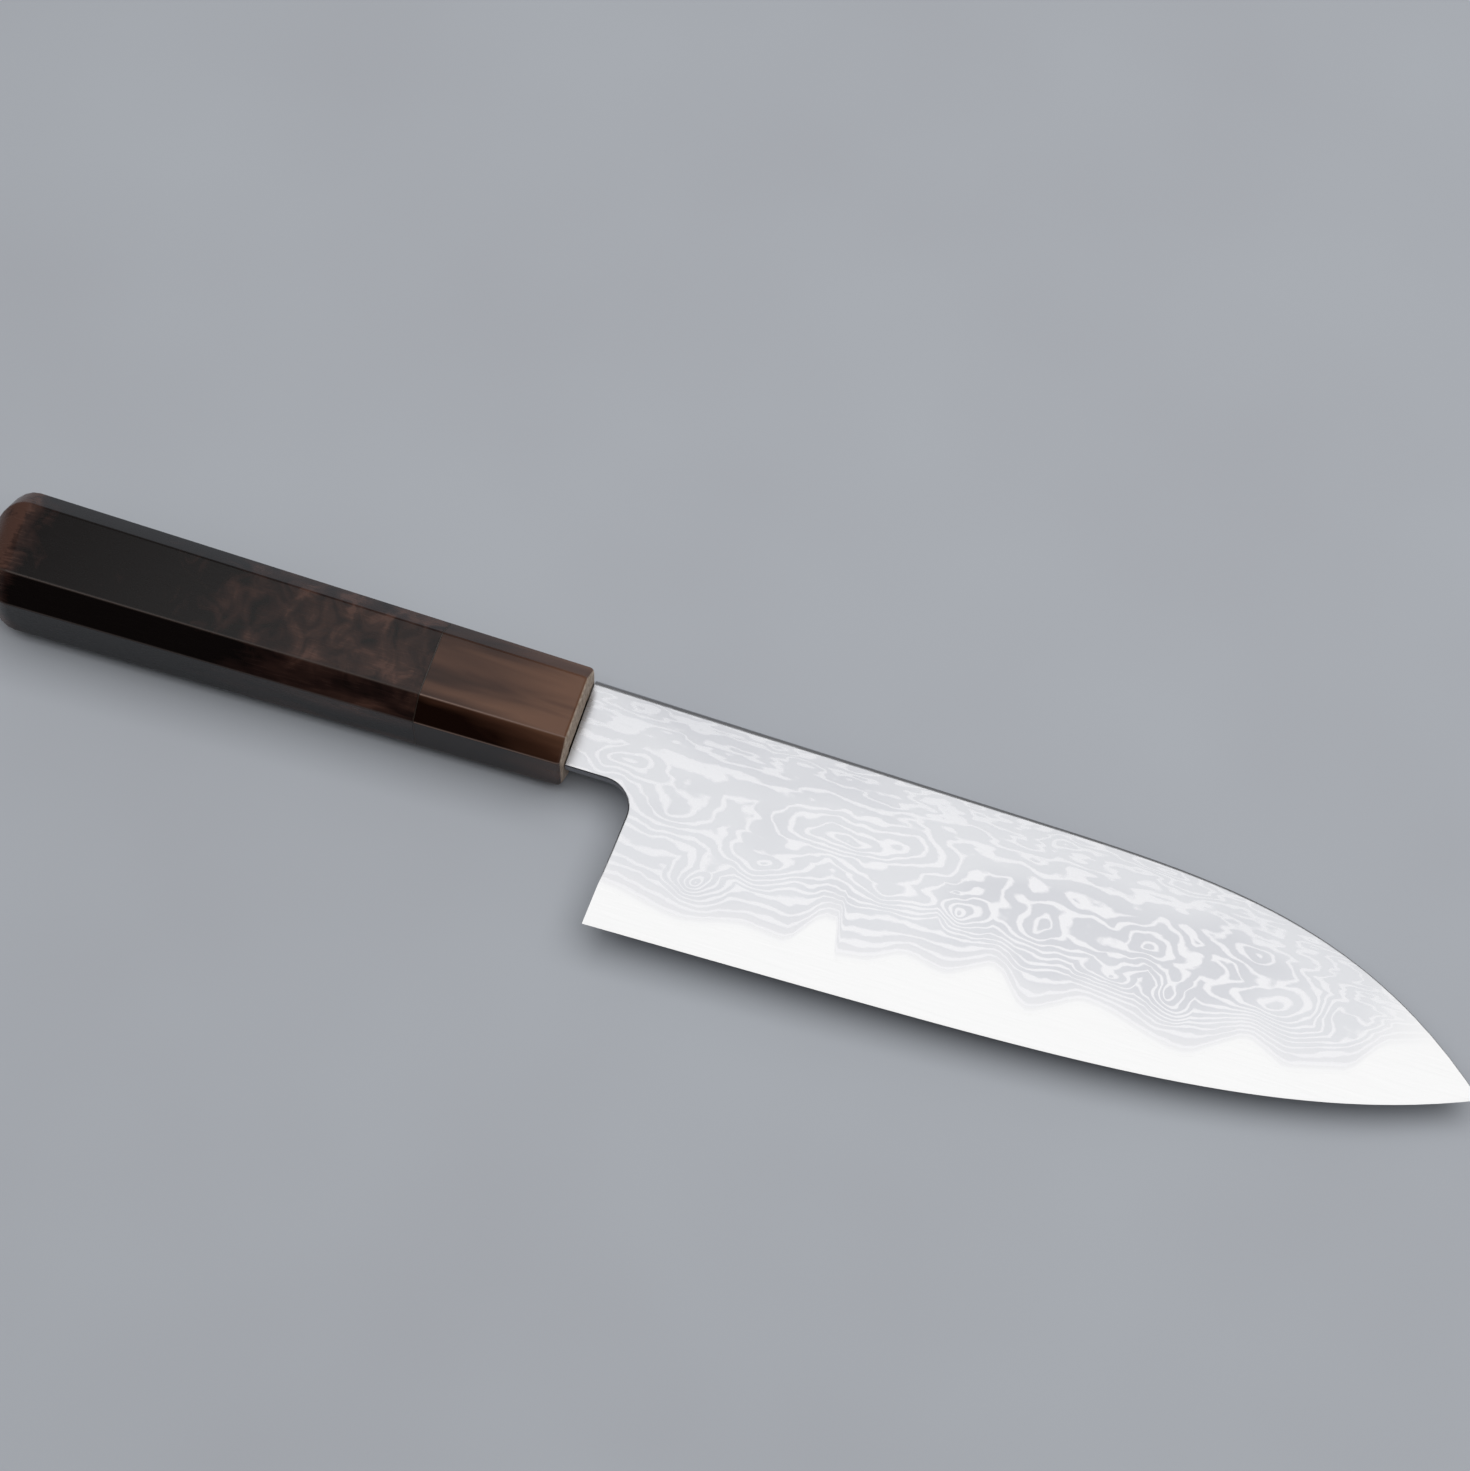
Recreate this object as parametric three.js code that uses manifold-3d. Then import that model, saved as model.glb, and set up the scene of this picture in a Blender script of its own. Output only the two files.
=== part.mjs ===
// Santoku kitchen knife: a three-layer blade on a hidden tang, in an eight-sided wooden handle with a horn ferrule.
// Millimetres. The knife lies on its side: +X points to the tip, +Y to the spine and +Z up from the table.
// The handle's axis is y = 0, z = 0 and the ferrule's front face is x = 0, until the knife is laid down at the end.
import * as THREE from "three";
import loadManifold from "manifold-3d";
import { mergeVertices } from "three/addons/utils/BufferGeometryUtils.js";

// Blade outline
const edgeLength = 170; // heel to tip
const neckLength = 13.5; // ferrule to heel
const spineRise = 10.2; // spine above the handle's axis at the ferrule
const neckHeight = 19.05;
const heelHeight = 48.4; // spine at the ferrule down to the heel
const spineFall = 3.1; // fall of the straight spine over the blade's length
const noseLength = 95.5; // stretch over which the spine curves down to the tip
const noseDrop = 26.7;
const nosePower = 3.4;
const edgeLift = 3.7; // steady rise of the edge from heel to tip
const bellyPower = 5; // how late the edge sweeps up to the tip
const heelLean = 2.9; // degrees that the heel leans back from upright
const choilRadius = 5.9; // inside corner between neck and heel

// Blade thickness
const neckThickness = 2.8;
const tipThickness = 0.4;
const taperPower = 1.25; // how late the spine thins towards the tip
const grindPower = 1.6; // roundness of the grind from spine to edge
const bevelWidth = 0.8; // sharpened strip along the edge
const tallestBevel = 0.3; // share of the blade's height that the strip stays under at the tip
const behindEdge = 0.24; // thickness where that strip begins
const coreThickness = 0.7;
const thinnestCladding = 0.25; // least share of the half thickness that stays cladding
const claddingFeather = 14; // height over which the cladding grows to its full thickness
const spineRounding = 0.95; // share of half the spine's thickness that is rounded over
const tallestRounding = 0.1; // share of the blade's height that this stays under at the tip
const choilEasing = 0.35; // width of the easing along choil and heel
const roundingDepth = 0.85; // share of the cladding's thickness that both go through

// Lower border of the cladding: its crests and troughs, as shares of the edge length and heights above the edge
const claddingWaves = [
  [0, 8], [0.1, 5.1], [0.171, 7.4], [0.218, 6.6], [0.256, 13.4], [0.268, 13.3], [0.279, 6.7], [0.306, 7.2],
  [0.353, 10.5], [0.398, 9], [0.45, 12.9], [0.497, 6.1], [0.556, 10.5], [0.676, 5], [0.738, 9.9], [0.79, 5.3],
  [0.85, 5.8], [0.891, 11.5], [1, 12],
];
const tallestBorder = 0.85; // share of the blade's height that the border stays under

// Tang
const tangLength = 80;
const tangHeight = 10.5; // at the shoulders
const tangThickness = 2.4; // at the shoulders, ground thinner than the neck
const tangEndHeight = 5;
const tangEndThickness = 2;
const shoulderGap = 0.3; // shoulders to ferrule

// Handle
const handleLength = 121.7; // ferrule's front face to the butt
const ferruleLength = 29.5;
const frontHeight = 21.4;
const frontThickness = 18.6;
const frontCorner = 4.1; // leg of the 45 degree corners
const buttHeight = 24.9;
const buttThickness = 21.5;
const buttCorner = 4.8;
const domeDepth = 7.7;
const buttLean = 6; // degrees that the butt leans out towards the spine's side
const domeFlat = 0.24; // share of the butt's section that the flat end keeps
const ridgeRadius = 0.9; // rounding of the eight long ridges
const mouthRounding = 1; // rounding of the ferrule's front edge

// Joinery inside the handle
const dowelDiameter = 13;
const dowelLength = 84;
const dowelChamfer = 0.8;
const ferruleFaceWall = 5; // horn left in front of the dowel
const boreClearance = 0.15; // dowel to bore, all round
const beddingThickness = 0.4; // adhesive round the tang
const glueGap = 0.05; // between cured adhesive and its neighbours
const glueLineThickness = 0.2; // film between ferrule and wood

// Fineness of the surfaces
const columnStep = 2.8;
const roundSides = 32;
const arcSteps = 8;
const domeSteps = 7;
const mouthSteps = 4;

const weldDistance = 1e-4;

const wasm = await loadManifold();
wasm.setup();

const tipX = neckLength + edgeLength;
const noseStart = tipX - noseLength;
const heelY = spineRise - heelHeight;
const tipY = spineRise - spineFall - noseDrop;
const bellyRise = tipY - heelY - edgeLift;
const neckBottom = spineRise - neckHeight;
const { lerp, clamp } = THREE.MathUtils;

function spineAt(x) {
  const nose = Math.max(0, (x - noseStart) / noseLength);
  return spineRise - (spineFall * x) / tipX - noseDrop * nose ** nosePower;
}

function edgeAt(x) {
  const share = clamp((x - neckLength) / edgeLength, 0, 1);
  return heelY + edgeLift * share + bellyRise * share ** bellyPower;
}

function bladeHeightAt(x) {
  return Math.max(0, spineAt(x) - edgeAt(x));
}

function spineThicknessAt(x) {
  if (x <= 0) return lerp(tangThickness, tangEndThickness, clamp(-x / tangLength, 0, 1));
  return lerp(neckThickness, tipThickness, clamp(x / tipX, 0, 1) ** taperPower);
}

// Half the blade's thickness: a sharpened strip, then a convex grind up to the spine.
function halfThickness(x, y) {
  const height = bladeHeightAt(x);
  const strip = Math.min(bevelWidth, tallestBevel * height);
  const above = y - edgeAt(x);
  if (above <= 0 || height === 0) return 0;
  if (above < strip) return (behindEdge / 2) * (above / strip);
  const share = Math.min(1, (above - strip) / (height - strip));
  return lerp(behindEdge, spineThicknessAt(x), 1 - (1 - share) ** grindPower) / 2;
}

// Height of the cladding's border above the edge, eased from each crest to the next trough.
function borderHeightAt(x) {
  const share = clamp((x - neckLength) / edgeLength, 0, 1);
  const next = Math.max(1, claddingWaves.findIndex(([at]) => at >= share));
  const [fromShare, fromHeight] = claddingWaves[next - 1];
  const [toShare, toHeight] = claddingWaves[next];
  const ease = THREE.MathUtils.smoothstep(share, fromShare, toShare);
  return Math.min(lerp(fromHeight, toHeight, ease), tallestBorder * bladeHeightAt(x));
}

function claddingThickness(x, y) {
  const half = halfThickness(x, y);
  const border = edgeAt(x) + borderHeightAt(x);
  const feather = Math.min(claddingFeather, spineAt(x) - border);
  const growth = 1 - (1 - clamp((y - border) / feather || 0, 0, 1)) ** 2;
  return Math.max(half - coreThickness / 2, thinnestCladding * half) * growth;
}

// A point of the blade's plan, with its half thickness, its cladding and how far a rounding lowers it.
function bladePoint(x, y, known = {}) {
  const half = halfThickness(x, y);
  return { x, y, half, cladding: claddingThickness(x, y), rounding: 0, lowered: 0, ...known };
}

// A place on a rounding of some width, at a share of that width in from the outline.
function rounded(share, rounding) {
  return { rounding, lowered: 1 - Math.sqrt(1 - (1 - share) ** 2) };
}

// The points and triangles of a flat plan.
class Plan {
  points = [];
  triangles = [];
  numbers = new Map();

  numberOf(point) {
    const key = `${point.x.toFixed(4)} ${point.y.toFixed(4)}`;
    if (!this.numbers.has(key)) {
      this.numbers.set(key, this.points.length);
      this.points.push(point);
    }
    return this.numbers.get(key);
  }

  // Columns of equally many points, from left to right, each from its lower to its upper end.
  addGrid(columns) {
    const grid = columns.map((column) => column.map((point) => this.numberOf(point)));
    for (let i = 1; i < grid.length; i++) {
      for (let j = 1; j < grid[i].length; j++) {
        const [a, b, c, d] = [grid[i - 1][j - 1], grid[i][j - 1], grid[i][j], grid[i - 1][j]];
        const halves = [[a, b, c], [a, c, d]];
        this.triangles.push(...halves.filter((corners) => new Set(corners).size === 3));
      }
    }
  }
}

// A closed solid over a plan, between an upper and a lower height at each of its points.
function slab(plan, upperAt, lowerAt) {
  const positions = [];
  const upper = plan.points.map((p) => [p.x, p.y, upperAt(p)]);
  const lower = plan.points.map((p) => [p.x, p.y, lowerAt(p)]);
  const sides = new Map();
  for (const [a, b, c] of plan.triangles) {
    positions.push(upper[a], upper[b], upper[c], lower[a], lower[c], lower[b]);
    for (const [from, to] of [[a, b], [b, c], [c, a]]) {
      if (!sides.delete(`${to} ${from}`)) sides.set(`${from} ${to}`, [from, to]);
    }
  }
  for (const [from, to] of sides.values()) {
    positions.push(lower[from], lower[to], upper[to], lower[from], upper[to], upper[from]);
  }
  return closedGeometry(positions);
}

// Joins a list of triangle corners into one indexed body without collapsed triangles.
function closedGeometry(corners) {
  const loose = new THREE.BufferGeometry();
  loose.setAttribute("position", new THREE.Float32BufferAttribute(corners.flat(), 3));
  const merged = mergeVertices(loose, weldDistance);
  const kept = [];
  for (let i = 0; i < merged.index.count; i += 3) {
    const [a, b, c] = [0, 1, 2].map((k) => merged.index.getX(i + k));
    if (a !== b && b !== c && c !== a) kept.push(a, b, c);
  }
  merged.setIndex(kept);
  return merged;
}

// A closed skin over rings of points, from the first ring's cap to the last ring's, along -X.
function loft(rings) {
  const corners = [];
  const count = rings[0].length;
  const middleOf = (ring) => [0, 1, 2].map((k) => ring.reduce((sum, point) => sum + point[k], 0) / count);
  const [first, last] = [rings[0], rings.at(-1)];
  for (let j = 0; j < count; j++) {
    const next = (j + 1) % count;
    corners.push(middleOf(first), first[j], first[next]);
    corners.push(middleOf(last), last[next], last[j]);
    for (let i = 1; i < rings.length; i++) {
      const [front, back] = [rings[i - 1], rings[i]];
      corners.push(front[j], back[j], back[next], front[j], back[next], front[next]);
    }
  }
  return closedGeometry(corners);
}

// An eight-sided section across X with rounded ridges, drawn in from its own outline by an inset.
function octagonRing(x, { height, thickness, corner }, inset = 0) {
  const [halfY, halfZ] = [height / 2 - inset, thickness / 2 - inset];
  const leg = corner - inset * (2 - Math.SQRT2);
  const outline = [];
  for (const [signY, signZ] of [[1, 1], [-1, 1], [-1, -1], [1, -1]]) {
    const pair = [
      new THREE.Vector2(signY * halfY, signZ * (halfZ - leg)),
      new THREE.Vector2(signY * (halfY - leg), signZ * halfZ),
    ];
    outline.push(...(signY === signZ ? pair : pair.reverse()));
  }
  const ridge = ridgeRadius * Math.tan(Math.PI / 8);
  const ring = [];
  outline.forEach((at, i) => {
    const before = outline.at(i - 1).clone().sub(at).setLength(ridge).add(at);
    const after = outline[(i + 1) % outline.length].clone().sub(at).setLength(ridge).add(at);
    const curve = new THREE.QuadraticBezierCurve(before, at, after);
    ring.push(...curve.getPoints(2));
  });
  return ring.map((point) => [x, point.x, point.y]);
}

// The handle's section tapers evenly from the ferrule's face to the butt.
function handleSection(x) {
  const share = -x / handleLength;
  return {
    height: lerp(frontHeight, buttHeight, share),
    thickness: lerp(frontThickness, buttThickness, share),
    corner: lerp(frontCorner, buttCorner, share),
  };
}

// A square-cornered tapering bar that follows the tang, thicker than it by a margin all round.
function tangBar(margin, frontX) {
  const rings = [frontX, -tangLength - margin].map((x) => {
    const share = -x / tangLength;
    const halfY = lerp(tangHeight, tangEndHeight, share) / 2 + margin;
    const halfZ = lerp(tangThickness, tangEndThickness, share) / 2 + margin;
    return [[x, halfY, -halfZ], [x, halfY, halfZ], [x, -halfY, halfZ], [x, -halfY, -halfZ]];
  });
  return loft(rings);
}

// A round bar along X with chamfered ends.
function roundBar(fromX, toX, radius, chamfer = 0) {
  const length = fromX - toX;
  const profile = [[0, 0], [radius - chamfer, 0], [radius, chamfer]];
  profile.push([radius, length - chamfer], [radius - chamfer, length], [0, length]);
  const distinct = profile.filter((p, i) => i === 0 || p.join() !== profile[i - 1].join());
  const bar = new THREE.LatheGeometry(distinct.map(([r, along]) => new THREE.Vector2(r, along)), roundSides);
  bar.rotateZ(-Math.PI / 2).translate(toX, 0, 0);
  return bar;
}

function toSolid(geometry) {
  const bare = new THREE.BufferGeometry();
  bare.setAttribute("position", geometry.getAttribute("position").clone());
  bare.setIndex(geometry.index);
  const merged = mergeVertices(bare, weldDistance);
  const vertProperties = new Float32Array(merged.attributes.position.array);
  const triVerts = new Uint32Array(merged.index.array);
  return new wasm.Manifold(new wasm.Mesh({ numProp: 3, vertProperties, triVerts }));
}

function cut(geometry, ...tools) {
  let solid = toSolid(geometry);
  for (const tool of tools) solid = solid.subtract(toSolid(tool));
  const { vertProperties, triVerts } = solid.getMesh();
  const result = new THREE.BufferGeometry();
  result.setAttribute("position", new THREE.BufferAttribute(vertProperties, 3));
  result.setIndex(new THREE.BufferAttribute(triVerts, 1));
  return result;
}

// Blade plan. The columns lean with the heel at first, and straighten up towards the middle of the blade.
const leanAngle = THREE.MathUtils.degToRad(heelLean);
const leanFade = heelHeight / 2;
const roundingRows = [0, 0.06, 0.25, 0.6, 1];

function heelColumnX(inset) {
  return neckLength + inset / Math.cos(leanAngle);
}

function leaned(edgeX, y) {
  const fade = clamp(1 - (edgeX - heelColumnX(choilEasing)) / leanFade, 0, 1);
  return edgeX + fade * Math.tan(leanAngle) * (y - heelY);
}

function roundingAt(x) {
  return Math.min((spineRounding * spineThicknessAt(x)) / 2, tallestRounding * bladeHeightAt(x));
}

function between(low, high, share, known) {
  if (share === 0) return low;
  if (share === 1) return high;
  return bladePoint(lerp(low.x, high.x, share), lerp(low.y, high.y, share), known);
}

// Upper end of the column that starts at edgeX, where the spine's rounding begins.
function columnTop(edgeX) {
  let x = edgeX;
  for (let i = 0; i < 4; i++) x = leaned(edgeX, spineAt(x) - roundingAt(x));
  return bladePoint(x, spineAt(x) - roundingAt(x));
}

function borderPoint(edgeX) {
  const y = edgeAt(edgeX) + borderHeightAt(edgeX);
  return bladePoint(leaned(edgeX, y), y, { cladding: 0 });
}

// Points of one column on the bare core, from the edge up to the cladding's border.
function coreColumn(edgeX) {
  const border = borderPoint(edgeX);
  const bottom = edgeAt(edgeX);
  const strip = Math.min(bevelWidth, tallestBevel * (border.y - bottom));
  const edge = bladePoint(leaned(edgeX, bottom), bottom, { half: 0, cladding: 0 });
  const rows = [bottom + strip, lerp(bottom + strip, border.y, 0.5)];
  return [edge, ...rows.map((y) => bladePoint(leaned(edgeX, y), y, { cladding: 0 })), border];
}

// Choil: an arc that leaves the neck level and ends on the leaning heel.
const choilEndY = neckBottom - choilRadius * (1 + Math.sin(leanAngle));
const choilX = leaned(neckLength, choilEndY) - choilRadius * Math.cos(leanAngle);
const choilY = neckBottom - choilRadius;

// The neck's lower border and the choil, at a share of their easing in from their outline.
function choilPath(row) {
  const inset = row * choilEasing;
  const eased = rounded(row, choilEasing);
  const neck = [0, 0.5].map((share) => lerp(shoulderGap, choilX, share));
  const path = neck.map((x) => bladePoint(x, neckBottom + inset, eased));
  const radius = choilRadius + inset;
  for (let i = 0; i <= arcSteps; i++) {
    const angle = lerp(Math.PI / 2, -leanAngle, i / arcSteps);
    path.push(bladePoint(choilX + radius * Math.cos(angle), choilY + radius * Math.sin(angle), eased));
  }
  return path;
}

const choilPaths = roundingRows.map(choilPath);
const innerChoil = choilPaths.at(-1);
const edgeStations = [heelColumnX(choilEasing)];
for (let i = 1; i < claddingWaves.length; i++) {
  const [from, to] = [claddingWaves[i - 1][0], claddingWaves[i][0]];
  const steps = Math.max(3, Math.ceil(((to - from) * edgeLength) / columnStep));
  for (let step = 1; step <= steps; step++) {
    const share = (1 - Math.cos((Math.PI * step) / steps)) / 2;
    edgeStations.push(neckLength + lerp(from, to, share) * edgeLength);
  }
}

// The neck's rows, two of which meet the tang's sides, run on along the blade.
const neckTop = spineAt(shoulderGap) - roundingAt(shoulderGap);
const neckLow = neckBottom + choilEasing;
const tangRows = [-tangHeight / 2, tangHeight / 2].map((y) => (y - neckLow) / (neckTop - neckLow));
const neckRows = [0, ...tangRows, 1];
const firstBorder = borderPoint(edgeStations[0]);
const firstTop = columnTop(edgeStations[0]);
const choilShare = (innerChoil.at(-1).y - firstBorder.y) / (firstTop.y - firstBorder.y);
const featherRows = [0, 0.2, 0.5, 1];
const flankRows = featherRows.map((share) => share * choilShare);
flankRows.push(...neckRows.slice(1).map((share) => lerp(choilShare, 1, share)));

const neckColumns = innerChoil.map((low, i) => {
  const x = lerp(shoulderGap, firstTop.x, i / (innerChoil.length - 1));
  const top = bladePoint(x, spineAt(x) - roundingAt(x));
  return neckRows.map((share) => between(low, top, share));
});

const flankColumns = edgeStations.map((edgeX) => {
  const [border, top] = [borderPoint(edgeX), columnTop(edgeX)];
  return flankRows.map((share) => between(border, top, share));
});

const heelColumns = roundingRows.map((row, i) => {
  const border = borderPoint(heelColumnX(row * choilEasing));
  const end = choilPaths[i].at(-1);
  return featherRows.map((share) => between(border, end, share, rounded(row, choilEasing)));
});

const spineColumns = [...neckColumns, ...flankColumns.slice(1)].map((column) => {
  const { x } = column.at(-1);
  const rounding = roundingAt(x);
  const rows = roundingRows.toReversed();
  return rows.map((row) => bladePoint(x, spineAt(x) - row * rounding, rounded(row, rounding)));
});

const tangColumns = [-tangLength, -tangLength / 2, 0].map((x) => {
  const half = lerp(tangHeight, tangEndHeight, -x / tangLength) / 2;
  return [bladePoint(x, -half), bladePoint(x, half)];
});
tangColumns.push(neckColumns[0].slice(1, 3));

const claddingPlan = new Plan();
const corePlan = new Plan();
for (const plan of [claddingPlan, corePlan]) {
  plan.addGrid(flankColumns);
  plan.addGrid(neckColumns);
  plan.addGrid(heelColumns);
  plan.addGrid(spineColumns);
  plan.addGrid(tangColumns);
  plan.addGrid(innerChoil.map((_, i) => choilPaths.map((path) => path[i])));
}
corePlan.addGrid(edgeStations.map((edgeX) => coreColumn(edgeX)));
corePlan.addGrid(roundingRows.map((row) => coreColumn(heelColumnX(row * choilEasing))));

// Upper faces of the core and of the blade, whose corners are rounded within the cladding.
function coreFace({ half, cladding }) {
  return half - cladding;
}

function outerFace({ half, cladding, rounding, lowered }) {
  return half - lowered * Math.min(rounding, roundingDepth * cladding);
}

const coreSteel = slab(corePlan, coreFace, (p) => -coreFace(p));
const rightCladding = slab(claddingPlan, outerFace, coreFace);
const leftCladding = slab(claddingPlan, (p) => -coreFace(p), (p) => -outerFace(p));

// Handle
const dowelFront = -ferruleFaceWall - boreClearance;
const dowelBack = dowelFront - dowelLength;
const woodFront = -ferruleLength - glueLineThickness - 2 * glueGap;
const domeStart = domeDepth - handleLength;
const slot = tangBar(beddingThickness + glueGap, mouthRounding);

function dowelBore(fromX, toX) {
  return roundBar(fromX, toX, dowelDiameter / 2 + boreClearance);
}

const mouthRings = [];
for (let i = mouthSteps; i >= 0; i--) {
  const angle = (i / mouthSteps) * (Math.PI / 2);
  const x = mouthRounding * (Math.sin(angle) - 1);
  mouthRings.push(octagonRing(x, handleSection(x), mouthRounding * (1 - Math.cos(angle))));
}
const ferruleBlank = loft([...mouthRings, octagonRing(-ferruleLength, handleSection(-ferruleLength))]);
const ferrule = cut(ferruleBlank, dowelBore(-ferruleFaceWall, -ferruleLength - 1), slot);

// The dome starts on a leaning section, each of whose points stays on its own ridge of the handle.
const leanSlope = Math.tan(THREE.MathUtils.degToRad(buttLean));
const domeRing = octagonRing(domeStart, handleSection(domeStart)).map(([, y], i) => {
  const x = domeStart - leanSlope * y;
  return octagonRing(x, handleSection(x))[i];
});
const woodRings = [octagonRing(woodFront, handleSection(woodFront)), domeRing];
for (let i = 1; i <= domeSteps; i++) {
  const scale = Math.cos((i / domeSteps) * Math.acos(domeFlat));
  const rise = domeDepth * Math.sqrt((1 - scale ** 2) / (1 - domeFlat ** 2));
  woodRings.push(domeRing.map(([, y, z]) => [domeStart - rise - leanSlope * y * scale, y * scale, z * scale]));
}
const handleBody = cut(loft(woodRings), dowelBore(woodFront + 1, dowelBack - boreClearance));

const filmX = [-ferruleLength - glueGap, -ferruleLength - glueGap - glueLineThickness];
const filmBlank = loft(filmX.map((x) => octagonRing(x, handleSection(x))));
const glueLine = cut(filmBlank, dowelBore(filmX[0] + 1, filmX[1] - 1));

const handleDowel = cut(roundBar(dowelFront, dowelBack, dowelDiameter / 2, dowelChamfer), slot);
const tangBedding = cut(tangBar(beddingThickness, -glueGap), tangBar(glueGap, mouthRounding));

// Assembly
const knife = new THREE.Group();

function addPart(name, geometry, color, roughness, metalness) {
  geometry.computeVertexNormals();
  const mesh = new THREE.Mesh(geometry, new THREE.MeshStandardMaterial({ color, roughness, metalness }));
  mesh.name = name;
  knife.add(mesh);
}

addPart("core_steel", coreSteel, 0xf2f3f4, 0.2, 1);
addPart("right_cladding", rightCladding, 0xdde0e4, 0.3, 1);
addPart("left_cladding", leftCladding, 0xdde0e4, 0.3, 1);
addPart("ferrule", ferrule, 0x5c473b, 0.25, 0);
addPart("ferrule_glue_line", glueLine, 0x2f231c, 0.4, 0);
addPart("handle_body", handleBody, 0x2b2220, 0.25, 0);
addPart("handle_dowel", handleDowel, 0xc6a676, 0.7, 0);
addPart("tang_bedding", tangBedding, 0x2f231c, 0.4, 0);

// The knife lies with the handle's lower facet flat on the table, centred over the origin.
knife.rotation.y = Math.atan2((buttThickness - frontThickness) / 2, handleLength);
const box = new THREE.Box3().setFromObject(knife, true);
const centre = box.getCenter(new THREE.Vector3());
knife.position.set(-centre.x, -centre.y, -box.min.z);

const santoku = new THREE.Group();
santoku.add(knife);

export default santoku;
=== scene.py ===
import math

import bmesh
import bpy
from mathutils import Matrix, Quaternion, Vector
from mathutils.kdtree import KDTree


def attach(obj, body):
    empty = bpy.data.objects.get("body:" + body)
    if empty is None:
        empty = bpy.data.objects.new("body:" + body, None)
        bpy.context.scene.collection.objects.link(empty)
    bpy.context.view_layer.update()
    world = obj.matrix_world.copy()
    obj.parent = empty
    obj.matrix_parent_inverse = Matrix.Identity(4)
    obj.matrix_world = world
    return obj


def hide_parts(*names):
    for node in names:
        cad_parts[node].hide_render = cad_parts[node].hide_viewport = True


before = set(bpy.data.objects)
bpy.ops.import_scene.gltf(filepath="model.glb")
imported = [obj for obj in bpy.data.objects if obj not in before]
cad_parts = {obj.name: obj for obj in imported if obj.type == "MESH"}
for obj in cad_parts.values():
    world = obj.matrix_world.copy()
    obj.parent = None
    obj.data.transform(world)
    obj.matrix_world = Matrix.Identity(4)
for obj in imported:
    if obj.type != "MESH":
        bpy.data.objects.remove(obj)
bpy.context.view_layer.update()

mm = 0.001
joinWithin = 0.001 * mm  # corners of the CAD triangles nearer than this are one point


def toLinear(hexColour):
    # sRGB hex as read off a screen, to the linear numbers that a shader takes
    parts = [int(hexColour[i:i + 2], 16) / 255 for i in (1, 3, 5)]
    linear = [c / 12.92 if c <= 0.04045 else ((c + 0.055) / 1.055) ** 2.4 for c in parts]
    return (*linear, 1)


def addNode(tree, kind, inputs=(), stops=(), **settings):
    # inputs are numbers, colours or other nodes' outputs, by socket name or number; in a Mix node
    # 0 is the share, 2 and 3 are plain values, and 6 and 7 are colours
    node = tree.nodes.new(kind)
    for name, value in settings.items():
        setattr(node, name, value)
    for socket, value in dict(inputs).items():
        if isinstance(value, bpy.types.NodeSocket):
            tree.links.new(value, node.inputs[socket])
        else:
            node.inputs[socket].default_value = value
    for i, (position, hexColour) in enumerate(stops):
        ramp = node.color_ramp.elements
        if i == 0:
            ramp.remove(ramp[1])  # of the two stops that a new ramp has, one makes way
        stop = ramp.new(position) if i else ramp[0]
        stop.position = position
        stop.color = toLinear(hexColour)
    return node


def startMaterial(name):
    material = bpy.data.materials.new(name)
    material.use_nodes = True
    tree = material.node_tree
    place = addNode(tree, "ShaderNodeTexCoord").outputs["Object"]
    return material, tree, tree.nodes["Principled BSDF"], place


def drawnOutGrain(tree, place, size, stretch, degrees=0, detail=2, bend=0):
    # clouds of one size in millimetres, drawn out along an axis whose stretch is below one
    spread = addNode(
        tree, "ShaderNodeMapping",
        {"Vector": place, "Rotation": (0, 0, math.radians(degrees)), "Scale": stretch},
    ).outputs["Vector"]
    return addNode(
        tree, "ShaderNodeTexNoise",
        {"Vector": spread, "Scale": 1 / (size * mm), "Detail": detail, "Distortion": bend},
    ).outputs["Fac"]


def ovalSpot(tree, place, along, across, halfLength, halfHeight, degrees=0):
    # one in the middle of an oval, falling evenly to nought at its rim
    centred = addNode(
        tree, "ShaderNodeMapping",
        {"Vector": place, "Location": (along * mm, across * mm, 0),
         "Rotation": (0, 0, math.radians(degrees)), "Scale": (halfLength * mm, halfHeight * mm, 1)},
        vector_type="TEXTURE",
    ).outputs["Vector"]
    return addNode(
        tree, "ShaderNodeTexGradient", {"Vector": centred}, gradient_type="SPHERICAL",
    ).outputs["Fac"]


def paintRidgeWearAndHighlight(tree, colour, ridgeWearAndHighlightColour):
    # the colour, paler along the ridges: partly rubbed by a hand, partly a painted highlight; the
    # square keeps the pale line narrow
    ridge = addNode(tree, "ShaderNodeAttribute", attribute_name="ridge").outputs["Fac"]
    ridgeWearAndHighlight = addNode(tree, "ShaderNodeMath", {0: ridge, 1: 2}, operation="POWER").outputs[0]
    return addNode(
        tree, "ShaderNodeMix", {0: ridgeWearAndHighlight, 6: colour, 7: toLinear(ridgeWearAndHighlightColour)}, data_type="RGBA",
    ).outputs[2]


def markRidgeWearAndHighlight(piece, setting):
    # one along the middle of each rounded ridge, where two narrow strips meet, less on the spine
    # side's ridges, which a hand rubs less and which get less of the painted highlight, and nought
    # beside them
    mesh = piece.data
    crosswise = 0.2  # a strip's short edge runs along the handle by less than this share
    narrowEdges = [0] * len(mesh.vertices)
    for edge in mesh.edges:
        low, high = (mesh.vertices[i].co for i in edge.vertices)
        length = (high - low).length
        if length < setting["foldWidth"] * mm and abs(high.x - low.x) < crosswise * length:
            for i in edge.vertices:
                narrowEdges[i] += 1
    ridgeWearAndHighlight = [
        (1 if v.co.y < setting["fullRidgeBelow"] * mm else setting["spineSideShare"]) if count >= 2 else 0
        for v, count in zip(mesh.vertices, narrowEdges)
    ]
    mesh.attributes.new("ridge", "FLOAT", "POINT").data.foreach_set("value", ridgeWearAndHighlight)


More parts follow.
